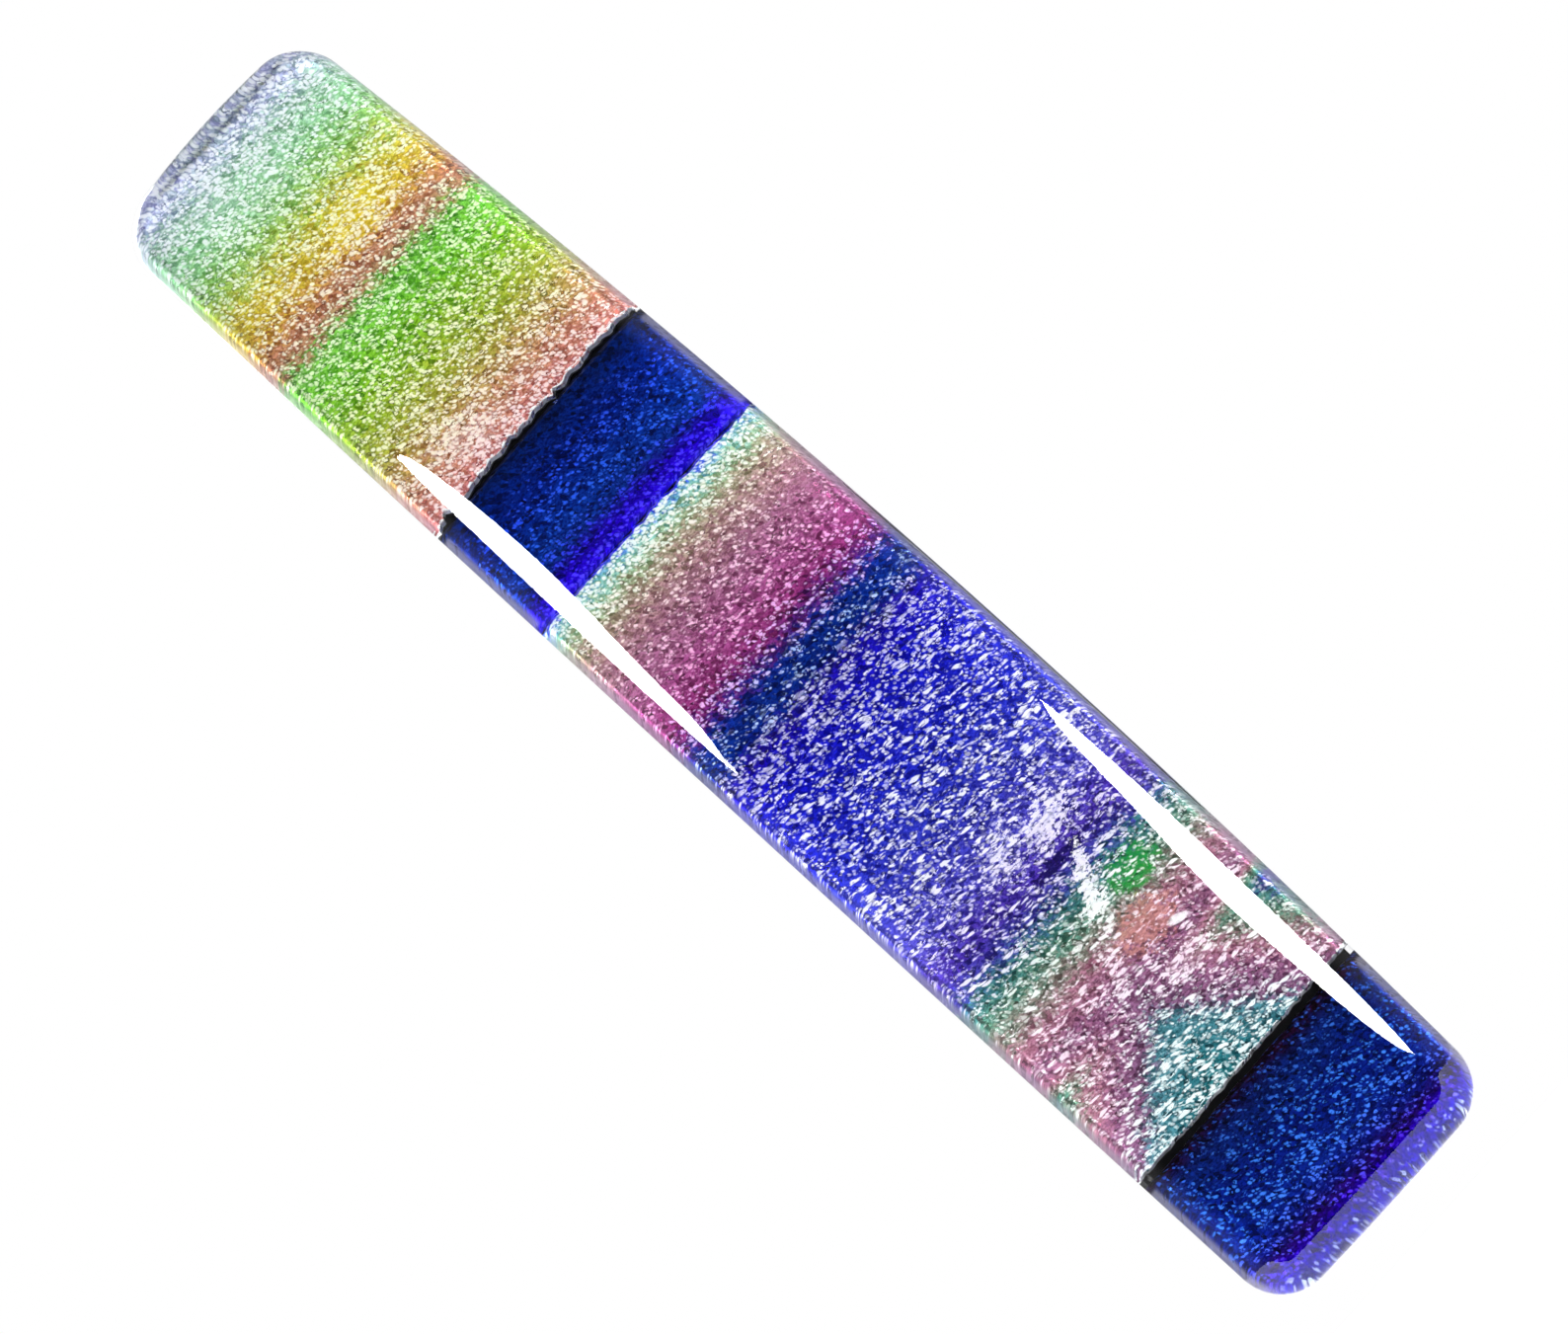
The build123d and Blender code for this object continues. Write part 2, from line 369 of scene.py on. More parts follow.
def clear_cap(material):
    """The clear glass round the coloured core. Its section is carried round the plan: from the dome's
    middle line out to the rim, over the rim on a quarter ellipse, down the side, round the back edge,
    in along the back, and then up the recess for the base and across the recess's roof."""
    foot_x, foot_z, turn = plan_stations()
    spine_z = foot_z * spine_share
    spine_x = (edge_x(left_edge, 0, spine_z) + edge_x(right_edge, 0, spine_z)) / 2

    def outline(inset):
        reach = corner_radius - inset
        return foot_x + reach * np.cos(turn), foot_z + reach * np.sin(turn)

    def towards_spine(inset, share):
        x, z = outline(inset)
        return spine_x + (x - spine_x) * share, spine_z + (z - spine_z) * share

    rows = []
    for share in np.sin(np.linspace(0, math.pi / 2, dome_rings)):
        x, z = towards_spine(rim_inset, share)
        rows.append((x, dome(x) + fire_polish(x, z), z))
    for angle in np.linspace(math.pi / 2, 0, rim_rings)[1:]:
        x, z = outline(rim_inset * (1 - math.cos(angle)))
        low = np.maximum(rim_level, dome(x) - rim_drop)
        rim = low + (dome(x) - low) * math.sin(angle)
        rows.append((x, rim + fire_polish(x, z) * math.sin(angle), z))
    side_top = rows[-1][1]
    for share in np.linspace(0, 1, side_rings)[1:]:
        x, z = outline(0)
        rows.append((x, side_top + (glass_back + back_round - side_top) * share, z))
    for angle in np.linspace(0, math.pi / 2, back_rings)[1:]:
        x, z = outline(back_round * (1 - math.cos(angle)))
        rows.append((x, np.full_like(x, glass_back + back_round * (1 - math.sin(angle))), z))
    recess = wrap + bury
    roof = base_top - bury
    for share, depth in ((1, glass_back), (1, roof), (0.5, roof), (0, roof)):
        x, z = towards_spine(recess, share)
        rows.append((x, np.full_like(x, depth), z))
    points = np.array([np.stack([x, -depth, z], axis=-1) for x, depth, z in rows])
    faces = ring_faces(len(rows), len(foot_x))
    return make_piece("clear_cap", points, faces, material, "case", "clear_glass", "clear_cap_glass")


def core_side(edge, z):
    """x of the coloured core's outline at height z: the long edge taken in, and near the ends a
    corner's circle."""
    inner = half_glass - corner_radius
    radius = corner_radius - core_wrap
    past = np.clip(np.abs(z) - inner, 0, radius)
    corner = edge_x(edge, corner_radius, np.clip(z, -inner, inner))
    corner = corner + math.copysign(1.0, edge[1]) * np.sqrt(radius**2 - past**2)
    return np.where(np.abs(z) > inner, corner, edge_x(edge, core_wrap, z))


def core_margin(x, z):
    """How far a point lies inside the core's outline: from its nearest side, or in a corner the corner's
    radius less the distance to its centre."""
    inner = half_glass - corner_radius
    beyond = np.abs(z) - inner
    sides = np.minimum(x - edge_x(left_edge, core_wrap, z), edge_x(right_edge, core_wrap, z) - x)
    margin = np.minimum(sides, half_glass - core_wrap - np.abs(z))
    for edge in (left_edge, right_edge):
        side = math.copysign(1.0, edge[1])
        out = side * (x - edge_x(edge, corner_radius, np.copysign(inner, z)))
        rounded = corner_radius - core_wrap - np.hypot(out, beyond)
        margin = np.where((out > 0) & (beyond > 0), rounded, margin)
    return np.maximum(margin, 0.0)


def cut_line(x, rise, jag, seed):
    """How far a seam strays from its height: its rise across the bar, and seeded jags, with a new
    stray every half a millimetre or so."""
    knots = np.arange(-jag_reach, jag_reach + 0.5, jag_spacing)
    stray = np.random.default_rng(seed).normal(0.0, jag, len(knots))
    return rise * x / (right_edge[1] - left_edge[1]) + np.interp(x, knots, stray)


def coated_strip(node, material, slot, jag, seed):
    """A strip of coated sheet glass after fusing. x runs from side to side of the core, closer together
    near the sides, and z from seam to seam, closer together near an end of the bar. The top sags on a
    quarter circle near the core's outline, and on a small one at a seam, and the underside is flat."""
    bottom, top, bottom_rise, top_rise = seams[node]
    across = (1 - np.cos(np.linspace(0, math.pi, strip_columns))) / 2
    count = max(fewest_rows, int((top - bottom) / mesh_step))
    steps = np.linspace(0, 1, count)
    open_top = abs(top) < half_glass - core_wrap
    open_bottom = abs(bottom) < half_glass - core_wrap
    if not open_top:
        steps = 1 - (1 - steps) ** end_crowding
    if not open_bottom:
        steps = steps**end_crowding
    z = (bottom + (top - bottom) * steps)[:, None]
    left, right = core_side(left_edge, z), core_side(right_edge, z)
    x = left + (right - left) * across[None, :]
    z = z + np.zeros_like(x)
    margin = core_margin(x, z)
    sag = np.clip(droop_radius - margin, 0, droop_radius)
    height = coat_depth - (droop_radius - np.sqrt(droop_radius**2 - sag**2))
    cut = np.full_like(x, uncut)
    if open_bottom:
        z = z + cut_line(x, bottom_rise, jag, seed) * (1 - steps[:, None]) ** 3
        cut = np.minimum(cut, z - z[0])
    if open_top:
        z = z + cut_line(x, top_rise, jag, seed + 1) * steps[:, None] ** 3
        cut = np.minimum(cut, z[-1] - z)
    edge = np.clip(seam_round - cut, 0, seam_round)
    height = height - (seam_round - np.sqrt(seam_round**2 - edge**2))
    height = np.maximum(height, base_top)
    upper = np.stack([x, -height, z], axis=-1)
    lower = np.stack([x, np.full_like(x, bury - base_top), z], axis=-1)
    rings = np.concatenate([upper, lower[:, ::-1]], axis=1)
    around = rings.shape[1]
    faces = ring_faces(len(rings), around)
    wide = np.arange(len(across) - 1)
    first = np.stack([wide, wide + 1, around - 2 - wide, around - 1 - wide], axis=-1)
    last = first[:, ::-1] + (len(rings) - 1) * around
    faces = np.concatenate([faces, first, last])
    cuts = np.concatenate([cut, cut[:, ::-1]], axis=1)
    name = node.replace("dichroic", "coated")
    return make_piece(name, rings, faces, material, "case", slot, node, cut=cuts)


# ================================================================ finishes


def clear_glass():
    """Fire-polished glass: faint waves, and a trace of handling in its gloss."""
    paint = Paint("clear_fused_glass")
    place = paint.place()
    waves = paint.noise(paint.stretch(place, (5.0, 5.0, 9.0)), detail=1.0)
    smear = paint.noise(paint.stretch(place, (7.0, 7.0, 3.0)), detail=4.0, roughness=0.7)
    return paint.surface(
        Base_Color=(0.965, 0.975, 0.985),
        Roughness=smear.rise(0.45, 0.8) * 0.008 + 0.002,
        IOR=1.5,
        Transmission_Weight=1.0,
        Normal=paint.bump(waves, 0.02, 0.3),
    )


# A flaw of the coating: its middle, its half width and half height, how far it leans (x for each
# unit of z), how ragged it is, its colour and how much that covers, and how many more of the facets
# flash there as painted glints.
Flaw = namedtuple("Flaw", "x z wide high lean ragged colour cover flash")

drawn_from, drawn_fully = 3.0, -12.0  # heights between which the coated sheet starts to be drawn out
drawn_until, drawn_no_more = -47.5, -49.5  # and between which it ends
# The lilac of the painted rim light along the bar's sides.
rim_light_lilac = (0.55, 0.54, 0.68)
# White of a painted glint on the chipped cut edges.
chip_glint_white = (0.90, 0.93, 0.95)
deep_black = (0.003, 0.003, 0.005)


def facets(paint, place, long, thin, lean):
    """The coating's crinkles: cells long across the bar and thin along it, which lean so that z falls
    as x grows."""
    x, _, z = paint.axes(place)
    leaning = paint.node("ShaderNodeCombineXYZ", None, {0: x, 2: z + x * lean})
    return paint.cells(paint.stretch(leaning, (long, 0, thin)))


def coated_glass(name, low, high, bands, glint_bands, wander, flaws=(), fold=None, chipped=None):
    """Crinkled dichroic coating on black glass. The colour runs through bands up the bar, wandering a
    little. Each facet has its own brightness and a colour from a band nearby, and a share of them
    flash: these are painted glints, near-white flecks in the base colour standing for the light the
    crinkles catch. The facets lengthen across the bar where the sheet is drawn out. Along the bar's
    sides, where the sheet has sagged, the coating is painted paler and lilac, a painted rim light for
    the light seen through the clear rim, and hardly flashes. bands and glint_bands are (height,
    colour), the latter giving the painted glints' colour, with the share of facets that flash as a
    third number. Below the height of a fold, (x, height, amount), the bands bend down to both sides
    of its x. chipped is (how far the cut edge is chipped, the height below which it is)."""
    paint = Paint(name)
    place = paint.place()
    x, y, z = (axis / MM for axis in paint.axes(place))
    depth = y * -1.0
    # The depth joins in, so that the pattern isn't drawn out into streaks on the steep edges.
    slant = {0: (x + y) * MM, 2: (z + y * 0.8) * MM}
    skin = paint.node("ShaderNodeCombineXYZ", None, slant)
    wavy = paint.shifted(skin, (2.0, 0, 1.4), 0.7)
    (flash, shade, hue), middle = facets(paint, wavy, long=0.37, thin=0.27, lean=0.3)
    (streak, streak_shade, _), streak_middle = facets(paint, wavy, long=0.95, thin=0.30, lean=0.16)
    (speck, _, _), speck_middle = facets(paint, wavy, long=0.30, thin=0.20, lean=0.3)
    drift = paint.noise(paint.stretch(skin, (5.0, 0, 2.4)), detail=4.0, roughness=0.6)
    grain = paint.noise(paint.stretch(skin, (0.28, 0, 0.18)), detail=2.0, roughness=0.7).rise(0.3, 0.7)
    ridges = paint.noise(paint.stretch(wavy, (0.62, 0, 0.25)), detail=2.0, roughness=0.6).rise(0.3, 0.7)
    rough = paint.noise(paint.stretch(skin, (0.7, 0, 0.45)), detail=3.0, roughness=0.7).rise(0.3, 0.7)

    # The height at which each facet looks its colour up.
    height = z + (drift - 0.5) * wander + (hue - 0.5) * wander
    if fold:
        fold_x, fold_height, amount = fold
        bend = abs(x - fold_x) * amount + (rough - 0.5) * 1.6
        height = height + bend * z.rise(fold_height, fold_height - 3.0)
    along = (height - low) / (high - low)
    band_stops = [((h - low) / (high - low), (*swatch(c), 1.0)) for h, c in bands]
    glint_stops = [((h - low) / (high - low), (*swatch(c), s)) for h, c, s in glint_bands]
    body, _ = paint.ramp(along, band_stops)
    glint_colour, share = paint.ramp(along, glint_stops)
    clusters = paint.noise(paint.stretch(place, (2.6, 0, 1.8)), detail=3.0, roughness=0.6) - 0.5
    share = share + clusters * 0.9 * share

    # How bright each facet is. The dark ones are also the fuller in colour.
    tone = (shade * 0.9 + 0.3) * (grain * 0.8 + 0.32) * (ridges * 0.5 + 0.75) * 1.3
    coat = paint.mix(tone.clamp(), paint.mix(1.0, body, body, "MULTIPLY"), body)
    coat = paint.mix(1.0, coat, tone * 0.45 + 0.6, "MULTIPLY")
    for flaw in flaws:
        sideways = (x - flaw.x - (z - flaw.z) * flaw.lean) / flaw.wide
        upwards = (z - flaw.z) / flaw.high
        mask = (1.25 - sideways * sideways - upwards * upwards + (rough - 0.5) * flaw.ragged).rise(0.0, 0.9)
        coat = paint.mix(mask * flaw.cover * (tone * 0.5 + 0.5), coat, swatch(flaw.colour))
        share = share + mask * flaw.flash

    # Which facets flash, as painted glints in the base colour: fine ones, long ones where the sheet is
    # drawn out, and tiny specks everywhere.
    drawn = z.rise(drawn_from, drawn_fully) * z.rise(drawn_no_more, drawn_until)
    fine = ((flash * 0.75 + grain * 0.25 + share - 1.0) * 9.0).clamp() * middle.rise(0.7, 0.35)
    long = ((streak * 0.7 + ridges * 0.3 + share - 1.0) * 9.0).clamp() * streak_middle.rise(0.68, 0.38)
    glint_specks = ((speck + share * 0.7 - 1.0) * 7.0).clamp() * speck_middle.rise(0.6, 0.3)
    lit = (fine * (1 - drawn * 0.5) + long * drawn + glint_specks * 0.8).clamp()
    # Painted glints: the flashing facets are painted toward their near-white glint colour.
    coat = paint.mix(lit * (streak_shade * 0.15 + 0.85), coat, glint_colour)
    cut = paint.node("ShaderNodeAttribute", {"attribute_name": "cut"}, out="Fac")
    # Not near a cut edge, and not on the bar's ends.
    sides = cut.rise(0.4, 0.8) * abs(z).rise(62.0, 60.5)
    # Painted rim light: along the sagged sides the coating is painted paler and lilac, standing for light
    # seen through the clear rim.
    sunk_rim_light = depth.rise(coat_depth - 0.12, coat_depth - 0.55) * sides
    coat = paint.mix(sunk_rim_light * 0.8, coat, paint.mix(0.4, body, rim_light_lilac))
    if chipped:
        reach, chipped_below = chipped
        ragged = paint.noise(paint.stretch(place, (0.45, 0, 0.3)), detail=3.0, roughness=0.7)
        chip_depth = ragged.rise(0.3, 0.6) * reach * z.rise(chipped_below, chipped_below - 1.0)
        # The chipped cut edge is real; its white is a painted glint, the light the chips catch.
        coat = paint.mix((chip_depth - cut).rise(0.0, 0.1), coat, chip_glint_white)
    top = cut.rise(0.0, 0.06)
    return paint.surface(
        Base_Color=paint.mix(top, deep_black, coat),
        Metallic=top * (1 - sunk_rim_light * 0.7),
        Roughness=shade * 0.2 + 0.24,
        Specular_IOR_Level=0.1,
        Normal=paint.bump(shade * 0.6 + lit * 0.4, 0.02, 0.3),
    )


def black_glass():
    """Black sheet glass. It is fused to the clear glass, so it hardly shines there, and its back is
    matt from the kiln shelf."""
    paint = Paint("black_sheet_glass")
    place = paint.place()
    _, y, _ = paint.axes(place)
    shelf = (y / -MM).rise(glass_back + 0.3, glass_back + 0.05)
    grit = paint.noise(paint.stretch(place, (0.35, 0.35, 0.35)), detail=4.0, roughness=0.7)
    cloud = paint.noise(paint.stretch(place, (6.0, 6.0, 9.0)), detail=3.0)
    return paint.surface(
        Base_Color=paint.mix(cloud * shelf, (0.003, 0.003, 0.004), (0.045, 0.045, 0.048)),
        Roughness=shelf * (0.35 + grit * 0.2) + 0.08,
        Specular_IOR_Level=0.03,
        Normal=paint.bump(grit * shelf, 0.03, 0.6),
    )


def foam_tape():
    """Closed-cell foam: matt, with fine pores."""
    paint = Paint("bonding_foam")
    pores, middle = paint.cells(paint.stretch(paint.place(), (0.22, 0.22, 0.22)))
    return paint.surface(
        Base_Color=paint.mix(pores[0], (0.018, 0.018, 0.020), (0.05, 0.05, 0.053)),
        Roughness=pores[1] * 0.15 + 0.8,
        Normal=paint.bump(middle, 0.06, 0.7),
    )


def drawn_metal(name, colours, line, gloss, depth):
    """Metal with fine lines along z, from a die or a brush: noise stretched out along the bar drives
    its tone, gloss and relief, and broad clouds stand for handling and the anodising bath."""
    paint = Paint(name)
    place = paint.place()
    lines = paint.noise(paint.stretch(place, line), detail=4.0, roughness=0.65)
    broad = paint.noise(paint.stretch(place, (line[0] * 7, line[1] * 7, 60.0)), detail=2.0)
    cloud = paint.noise(paint.stretch(place, (9.0, 9.0, 14.0)), detail=3.0, roughness=0.6)
    scuff = paint.noise(paint.stretch(place, (0.9, 0.9, 3.0)), detail=5.0, roughness=0.75).rise(0.62, 0.74)
    tone = (lines * 0.5 + broad * 0.25 + cloud * 0.25).rise(0.35, 0.65)
    return paint.surface(
        Base_Color=paint.mix(tone, *colours),
        Metallic=1.0,
        Roughness=lines * 0.14 + cloud * 0.1 + scuff * 0.12 + gloss,
        Normal=paint.bump(lines, depth, 0.5),
    )


def moulded_plastic():
    """Dark moulded plastic with a fine eroded grain."""
    paint = Paint("eroded_plastic")
    place = paint.place()
    grain = paint.noise(paint.stretch(place, (0.14, 0.14, 0.14)), detail=3.0, roughness=0.7)
    flow = paint.noise(paint.stretch(place, (4.0, 2.5, 2.5)), detail=2.0)
    return paint.surface(
        Base_Color=paint.mix(flow * 0.7 + grain * 0.3, (0.026, 0.026, 0.029), (0.050, 0.050, 0.053)),
        Roughness=grain * 0.2 + 0.42,
        Normal=paint.bump(grain, 0.02, 0.6),
    )


def clear_film():
    """Clear polyester film, with faint rolling lines along it."""
    paint = Paint("clear_film_tube")
    lines = paint.noise(paint.stretch(paint.place(), (0.5, 0.5, 30.0)), detail=2.0)
    return paint.surface(
        Base_Color=(0.95, 0.97, 0.98),
        Roughness=lines * 0.05 + 0.02,
        IOR=1.57,
        Transmission_Weight=1.0,
        Normal=paint.bump(lines, 0.01, 0.3),
    )


def parchment_skin():
    """Scraped skin: mottled cream, small follicles and a fine nap."""
    paint = Paint("scraped_parchment")
    place = paint.place()
    mottle = paint.noise(paint.stretch(place, (5.0, 5.0, 7.0)), detail=4.0, roughness=0.6)
    nap = paint.noise(paint.stretch(place, (0.2, 0.2, 0.5)), detail=3.0, roughness=0.7)
    random, middle = paint.cells(paint.stretch(place, (0.6, 0.6, 0.6)))
    follicle = middle.rise(0.16, 0.06) * random[0].rise(0.5, 0.6)
    skin = paint.mix(mottle.rise(0.3, 0.7), (0.50, 0.36, 0.19), (0.70, 0.59, 0.38))
    skin = paint.mix(nap * 0.3, skin, (0.80, 0.72, 0.54))
    return paint.surface(
        Base_Color=paint.mix(follicle * 0.55, skin, (0.30, 0.19, 0.09)),
        Roughness=nap * 0.25 + 0.5,
        Normal=paint.bump(nap * 0.7 + follicle * -0.3, 0.02, 0.6),
    )


# ================================================================ making the object

gold = coated_glass(
    "gold_green_coating",
    low=27.0,
    high=63.0,
    bands=[
        (27.4, 0xC87C80),
        (28.6, 0xCC8478),
        (30.5, 0xC4886C),
        (32.8, 0xBEA058),
        (35.0, 0xB0B440),
        (37.0, 0xA0BC38),
        (39.5, 0x84C02C),
        (42.0, 0x7CCB40),
        (44.2, 0x78C050),
        (44.9, 0xB09068),
        (46.2, 0xC08468),
        (47.8, 0xCC9A50),
        (49.0, 0xD4B83E),
        (51.0, 0xD2C646),
        (52.6, 0xB4CB60),
        (54.5, 0x98CB70),
        (57.0, 0x9CD6A0),
        (59.5, 0xA8CFB8),
        (61.2, 0xB2C2D4),
        (62.6, 0xA8ACD8),
    ],
    # Painted glints: the near-white colour of the flashing facets up the bar, and their share.
    glint_bands=[
        (28.5, 0xFFE8E8, 0.60),
        (33.0, 0xFFF8DC, 0.51),
        (38.0, 0xF8FFD0, 0.49),
        (43.0, 0xE8FFD0, 0.49),
        (46.5, 0xFFF2E0, 0.43),
        (50.0, 0xFFFDD4, 0.53),
        (54.0, 0xEEFFE4, 0.49),
        (57.0, 0xF2FFF8, 0.56),
        (62.0, 0xF0F4FF, 0.68),
    ],
    wander=1.5,
    flaws=[
        Flaw(2.5, 49.3, 3.6, 2.2, 0.0, 1.5, 0xF0DC20, 0.50, 0.20),
        Flaw(-4.6, 30.6, 2.6, 1.9, -0.6, 3.0, 0xFFE4E8, 0.25, 0.50),
        Flaw(-2.0, 57.0, 5.0, 2.6, 0.0, 2.0, 0xB4E0C8, 0.25, 0.15),
    ],
    chipped=(0.62, 35.0),
)
navy = coated_glass(
    "navy_coating",
    low=-63.0,
    high=27.0,
    bands=[
        (-62.9, 0x101CA0),
        (-62.4, 0x1010A4),
        (-61.8, 0x2408C8),
        (-61.0, 0x22009C),
        (-60.1, 0x1C0450),
        (-59.2, 0x0A1068),
        (-57.4, 0x061E7A),
        (-54.3, 0x04166C),
        (-51.0, 0x061C60),
        (-49.7, 0x0A0C3C),
        (-49.2, 0x1C0418),
        (15.5, 0x3418D0),
        (15.9, 0x2A08E0),
        (16.6, 0x2000B4),
        (17.4, 0x1A0A90),
        (18.4, 0x0A2C80),
        (20.2, 0x062A86),
        (23.4, 0x021C76),
        (25.3, 0x021E70),
        (26.5, 0x041A54),
    ],
    # Painted glints: the near-white colour of the flashing facets up the bar, and their share.
    glint_bands=[
        (-62.8, 0xFFFFFF, 0.44),
        (-62.2, 0xB4C8FF, 0.36),
        (-61.2, 0x5018E0, 0.30),
        (-57.0, 0x3C7CF0, 0.34),
        (-54.0, 0x3070D8, 0.32),
        (-50.0, 0x2850B0, 0.25),
        (15.6, 0x5848FF, 0.50),
        (17.0, 0x3420F0, 0.35),
        (20.0, 0x2860E8, 0.34),
        (23.0, 0x2850F0, 0.36),
        (26.0, 0x0A2060, 0.20),
    ],
    wander=0.7,
)
violet = coated_glass(
    "violet_rose_coating",
    low=-48.5,
    high=15.6,
    bands=[
        (-48.2, 0x307E82),
        (-45.0, 0x28727C),
        (-41.4, 0x4C8490),
        (-39.8, 0x80587C),
        (-37.5, 0x905C82),
        (-35.0, 0xA87488),
        (-33.2, 0x8A867C),
        (-31.8, 0x5C8C78),
        (-30.0, 0x3C7878),
        (-28.6, 0x3C3C98),
        (-26.4, 0x4830A0),
        (-23.3, 0x504ABA),
        (-20.0, 0x3A3CB6),
        (-17.0, 0x2E36B8),
        (-14.0, 0x2028B8),
        (-8.0, 0x1416B8),
        (-5.0, 0x1A10B0),
        (-3.9, 0x241490),
        (-2.9, 0x0A2688),
        (-1.6, 0x062880),
        (-0.3, 0x0E2A8E),
        (0.8, 0x5A2078),
        (2.2, 0x8E3074),
        (4.7, 0xA2508A),
        (7.8, 0xAA7090),
        (10.5, 0xB48E90),
        (12.2, 0xB0A68C),
        (13.4, 0xA8C49C),
        (14.4, 0x84C8C0),
        (15.2, 0x6CA8DC),
        (15.5, 0x3A60F0),
    ],
    # Painted glints: the near-white colour of the flashing facets up the bar, and their share.
    glint_bands=[
        (-47.5, 0xF4FFFF, 0.48),
        (-41.0, 0xF0FFFF, 0.38),
        (-36.0, 0xFFE4F4, 0.32),
        (-32.0, 0xF4FFF6, 0.40),
        (-28.5, 0xECE8FF, 0.34),
        (-26.0, 0xE8E0FF, 0.28),
        (-20.0, 0xF8F8FF, 0.38),
        (-14.0, 0xF0F2FF, 0.34),
        (-8.0, 0xECECFF, 0.35),
        (-3.9, 0xE0DCFF, 0.36),
        (-1.6, 0xA8D0FF, 0.24),
        (0.6, 0xE0C0FF, 0.34),
        (4.0, 0xFFB4E8, 0.36),
        (8.0, 0xFFD8EC, 0.30),
        (11.5, 0xFFF4E8, 0.34),
        (13.5, 0xF8FFF4, 0.62),
        (15.4, 0xF4FFFF, 0.85),
    ],
    wander=1.4,
    fold=(-1.6, -37.0, 0.85),
    flaws=[
        Flaw(5.4, -31.7, 2.4, 1.7, 0.0, 1.6, 0x149032, 0.85, -0.10),
        Flaw(2.9, -35.3, 2.8, 1.9, 0.0, 1.8, 0xDC9884, 0.50, -0.16),
        Flaw(2.4, -27.1, 2.8, 0.5, 0.4, 2.0, 0x0C0638, 0.85, -0.40),
        # From here on the white flaws are painted highlights: light caught by ripples of the glass in a
        # splash and a glint, painted into the coating's colour along with more painted glints.
        Flaw(3.7, -24.3, 2.1, 1.3, 0.3, 3.4, 0xFFFFFF, 0.35, 0.70),
        Flaw(-0.5, -23.4, 1.6, 2.0, 0.3, 3.4, 0xFFFFFF, 0.10, 0.35),
        Flaw(2.3, -29.6, 0.7, 2.2, 0.55, 2.6, 0xFFFFFF, 1.0, 0.70),
        Flaw(1.5, -31.6, 1.2, 0.8, 0.2, 2.6, 0xFFFFFF, 1.0, 0.70),
        Flaw(4.8, -36.9, 0.8, 0.45, -0.8, 0.6, 0xFFFFFF, 1.0, 0.50),
        Flaw(-0.2, -35.0, 0.7, 4.6, 0.7, 3.4, 0xF0F4F4, 0.05, 0.40),
        Flaw(2.8, -39.6, 2.4, 1.1, 0.4, 3.0, 0xF0F4F4, 0.05, 0.40),
    ],
    chipped=(0.40, -40.0),
)

clear_cap(clear_glass())
coated_strip("dichroic_strip_1_gold", gold, "gold_coat", jag=0.15, seed=3)
coated_strip("dichroic_strip_2_navy", navy, "navy_coat", jag=0.0, seed=5)
coated_strip("dichroic_strip_3_violet", violet, "violet_coat", jag=0.07, seed=7)
coated_strip("dichroic_strip_4_navy", navy, "navy_coat", jag=0.04, seed=9)

anodised = drawn_metal(
    "anodised_extrusion",
    colours=((0.26, 0.27, 0.29), (0.42, 0.43, 0.45)),
    line=(0.16, 0.16, 45.0),
    gloss=0.30,
    depth=0.006,
)
brushed = drawn_metal(
    "brushed_plate",
    colours=((0.20, 0.20, 0.21), (0.46, 0.46, 0.47)),
    line=(0.09, 0.09, 9.0),
    gloss=0.18,
    depth=0.008,
)
plastic = moulded_plastic()
kept = {
    "black_base_glass": black_glass(),
    "bond_strip_left": foam_tape(),
    "bond_strip_right": foam_tape(),
    "scroll_channel": anodised,
    "end_cap_bottom": plastic,
    "end_cap_top": plastic,
    "scroll_sleeve": clear_film(),
    "scroll_parchment": parchment_skin(),
    "back_plate": brushed,
}
for node, material in kept.items():
    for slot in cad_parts[node].material_slots:
        slot.material = material

# ================================================================ floor, light and camera

floor_height = -95.0
floor_size = 900.0
mesh = bpy.data.meshes.new("floor")
reach = floor_size / 2 * MM
corners = [(-reach, -reach), (reach, -reach), (reach, reach), (-reach, reach)]
mesh.from_pydata([(x, y, floor_height * MM) for x, y in corners], [], [(0, 1, 2, 3)])
floor = bpy.data.objects.new("floor", mesh)
paper = Paint("white_paper")
fibre = paper.noise(paper.stretch(paper.place(), (1.5, 1.5, 1.5)), detail=3.0)
white = paper.mix(fibre, (0.90, 0.90, 0.90), (0.93, 0.93, 0.93))
mesh.materials.append(
    paper.surface(Base_Color=white, Roughness=0.9, Emission_Color=white, Emission_Strength=1.0)
)
bpy.context.scene.collection.objects.link(floor)

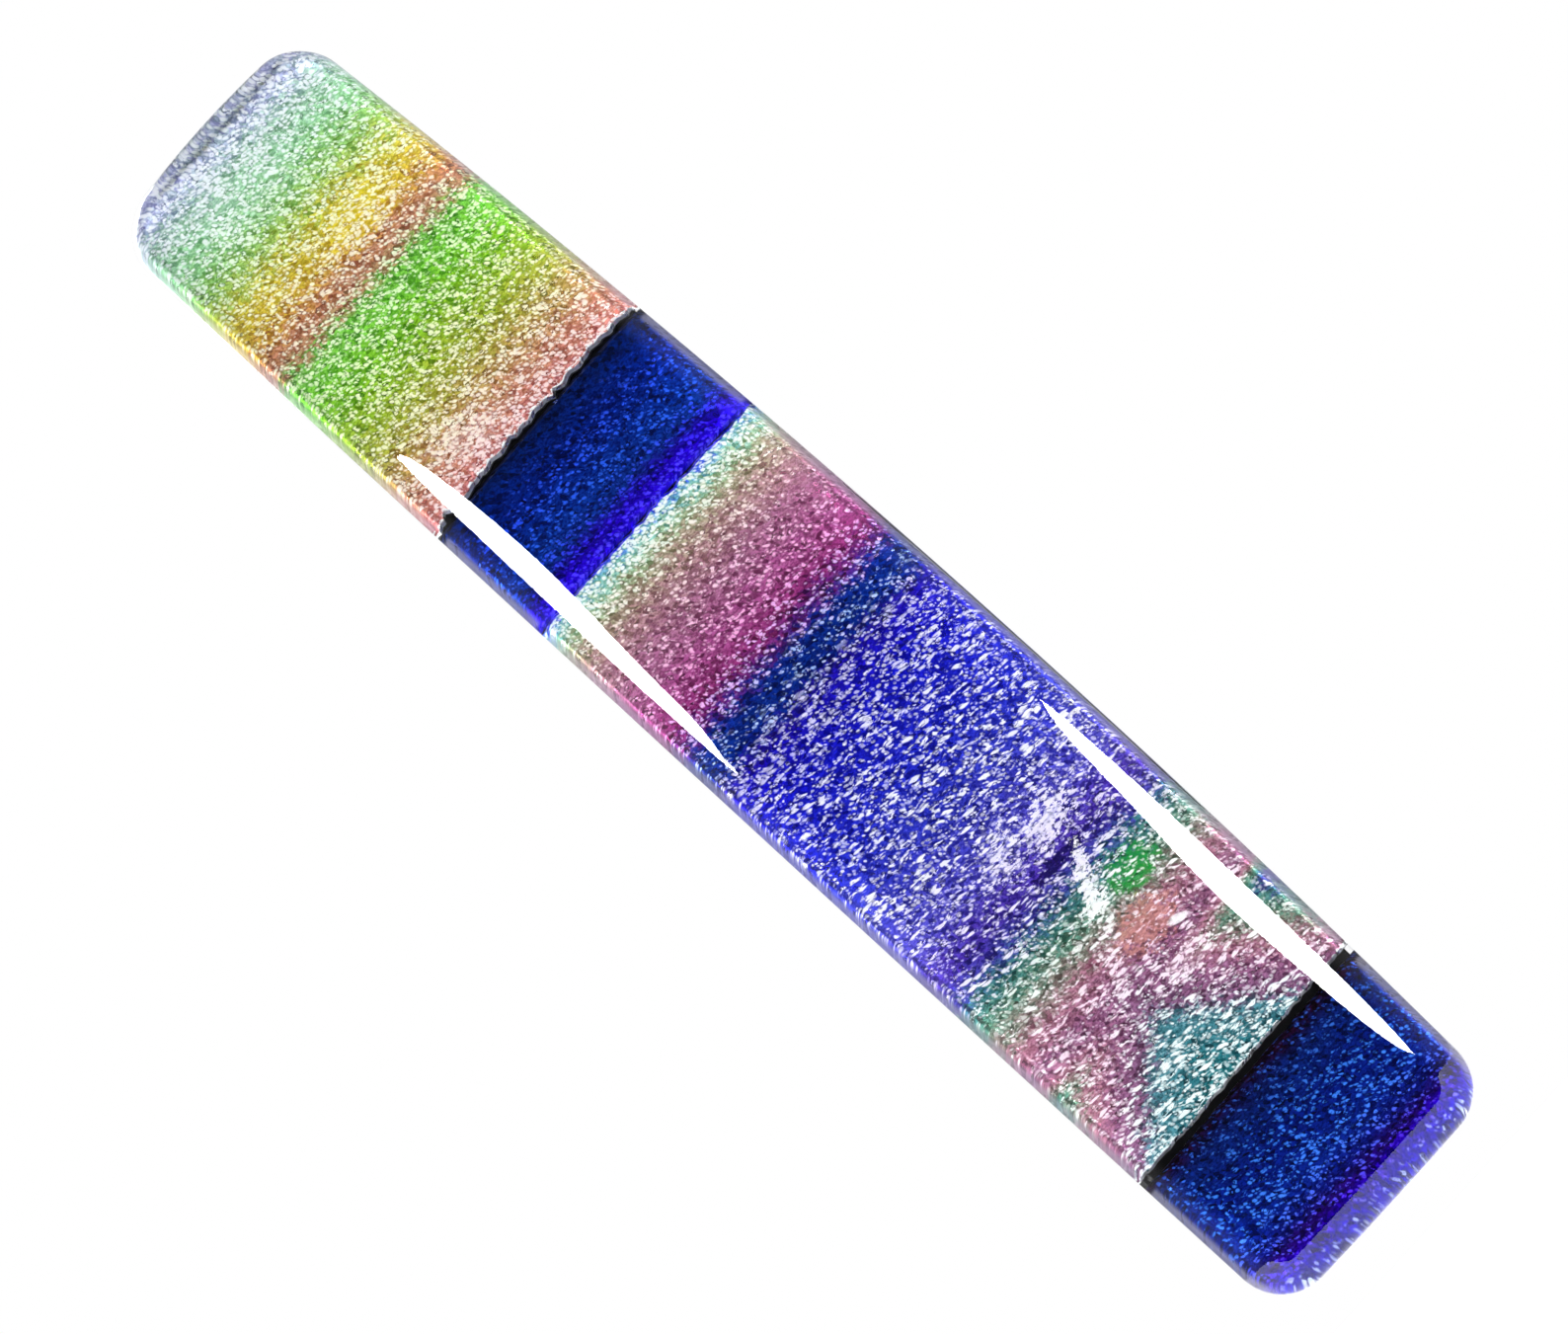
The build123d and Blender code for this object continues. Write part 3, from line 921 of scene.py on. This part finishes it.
# White wherever it is seen, straight or through clear glass. What surfaces reflect is a dimmer room,
# darkest in front of the glass, so that its face stays clear of glare.
room = Room("white_studio")
seen, through = room.node("ShaderNodeLightPath", out=["Is Camera Ray", "Is Transmission Ray"])
_, ahead, _ = room.axes(room.node("ShaderNodeTexCoord", out="Generated"))
studio = room.mix(ahead.rise(-0.75, 0.1), (0.04, 0.04, 0.045), (0.55, 0.55, 0.56))
bpy.context.scene.world = room.shine(room.mix((seen + through).clamp(), studio, (1.0, 1.0, 1.0)))
bpy.context.scene.view_settings.view_transform = "Standard"

aim = Vector((0.0, -glass_front * MM, 0.0))


def softbox(name, place, size, power, turn=0.0):
    """An oval light at a place in millimetres, aimed at the front of the glass and turned about its
    own axis. The power is in watts."""
    lamp = bpy.data.lights.new(name, "AREA")
    lamp.shape = "ELLIPSE"
    lamp.size, lamp.size_y = (s * MM for s in size)
    lamp.energy = power
    light = bpy.data.objects.new(name, lamp)
    light.location = Vector(place) * MM
    facing = (aim - light.location).to_track_quat("-Z", "Y").to_matrix().to_4x4()
    light.rotation_euler = (facing @ Matrix.Rotation(math.radians(turn), 4, "Z")).to_euler()
    light.visible_camera = False
    bpy.context.scene.collection.objects.link(light)


softbox("softbox_left", place=(-458.0, -437.0, 130.0), size=(207.0, 96.0), power=2.4, turn=11.0)
softbox("softbox_right", place=(470.0, -424.0, -23.0), size=(210.0, 108.0), power=2.7, turn=12.5)
softbox("softbox_behind", place=(-500.0, 700.0, 700.0), size=(900.0, 900.0), power=14.0)

image_width = 1588
picture_scale = 12.99  # units of image_width to a millimetre at the glass
camera_distance = 330.0
camera_below = 8.0  # degrees below level
camera_roll = 47.6  # degrees, which lays the bar on the picture's falling diagonal
camera_aside = (-0.2, 1.74)  # millimetres at the glass, across and up the picture

camera = bpy.data.cameras.new("camera")
camera.sensor_width = 36.0
camera.lens = camera.sensor_width * camera_distance / (image_width / picture_scale)
camera.clip_start = 0.01
camera.clip_end = 20.0
eye = bpy.data.objects.new("camera", camera)
bpy.context.scene.collection.objects.link(eye)
tilt = math.radians(camera_below)
back = Vector((0.0, -math.cos(tilt), -math.sin(tilt)))
roll = Matrix.Rotation(-math.radians(camera_roll), 3, "Z")
turned = (-back).to_track_quat("-Z", "Y").to_matrix() @ roll
shift = turned @ Vector((camera_aside[0], camera_aside[1], 0.0)) * MM
eye.rotation_euler = turned.to_euler()
eye.location = aim + back * camera_distance * MM - shift
bpy.context.scene.camera = eye
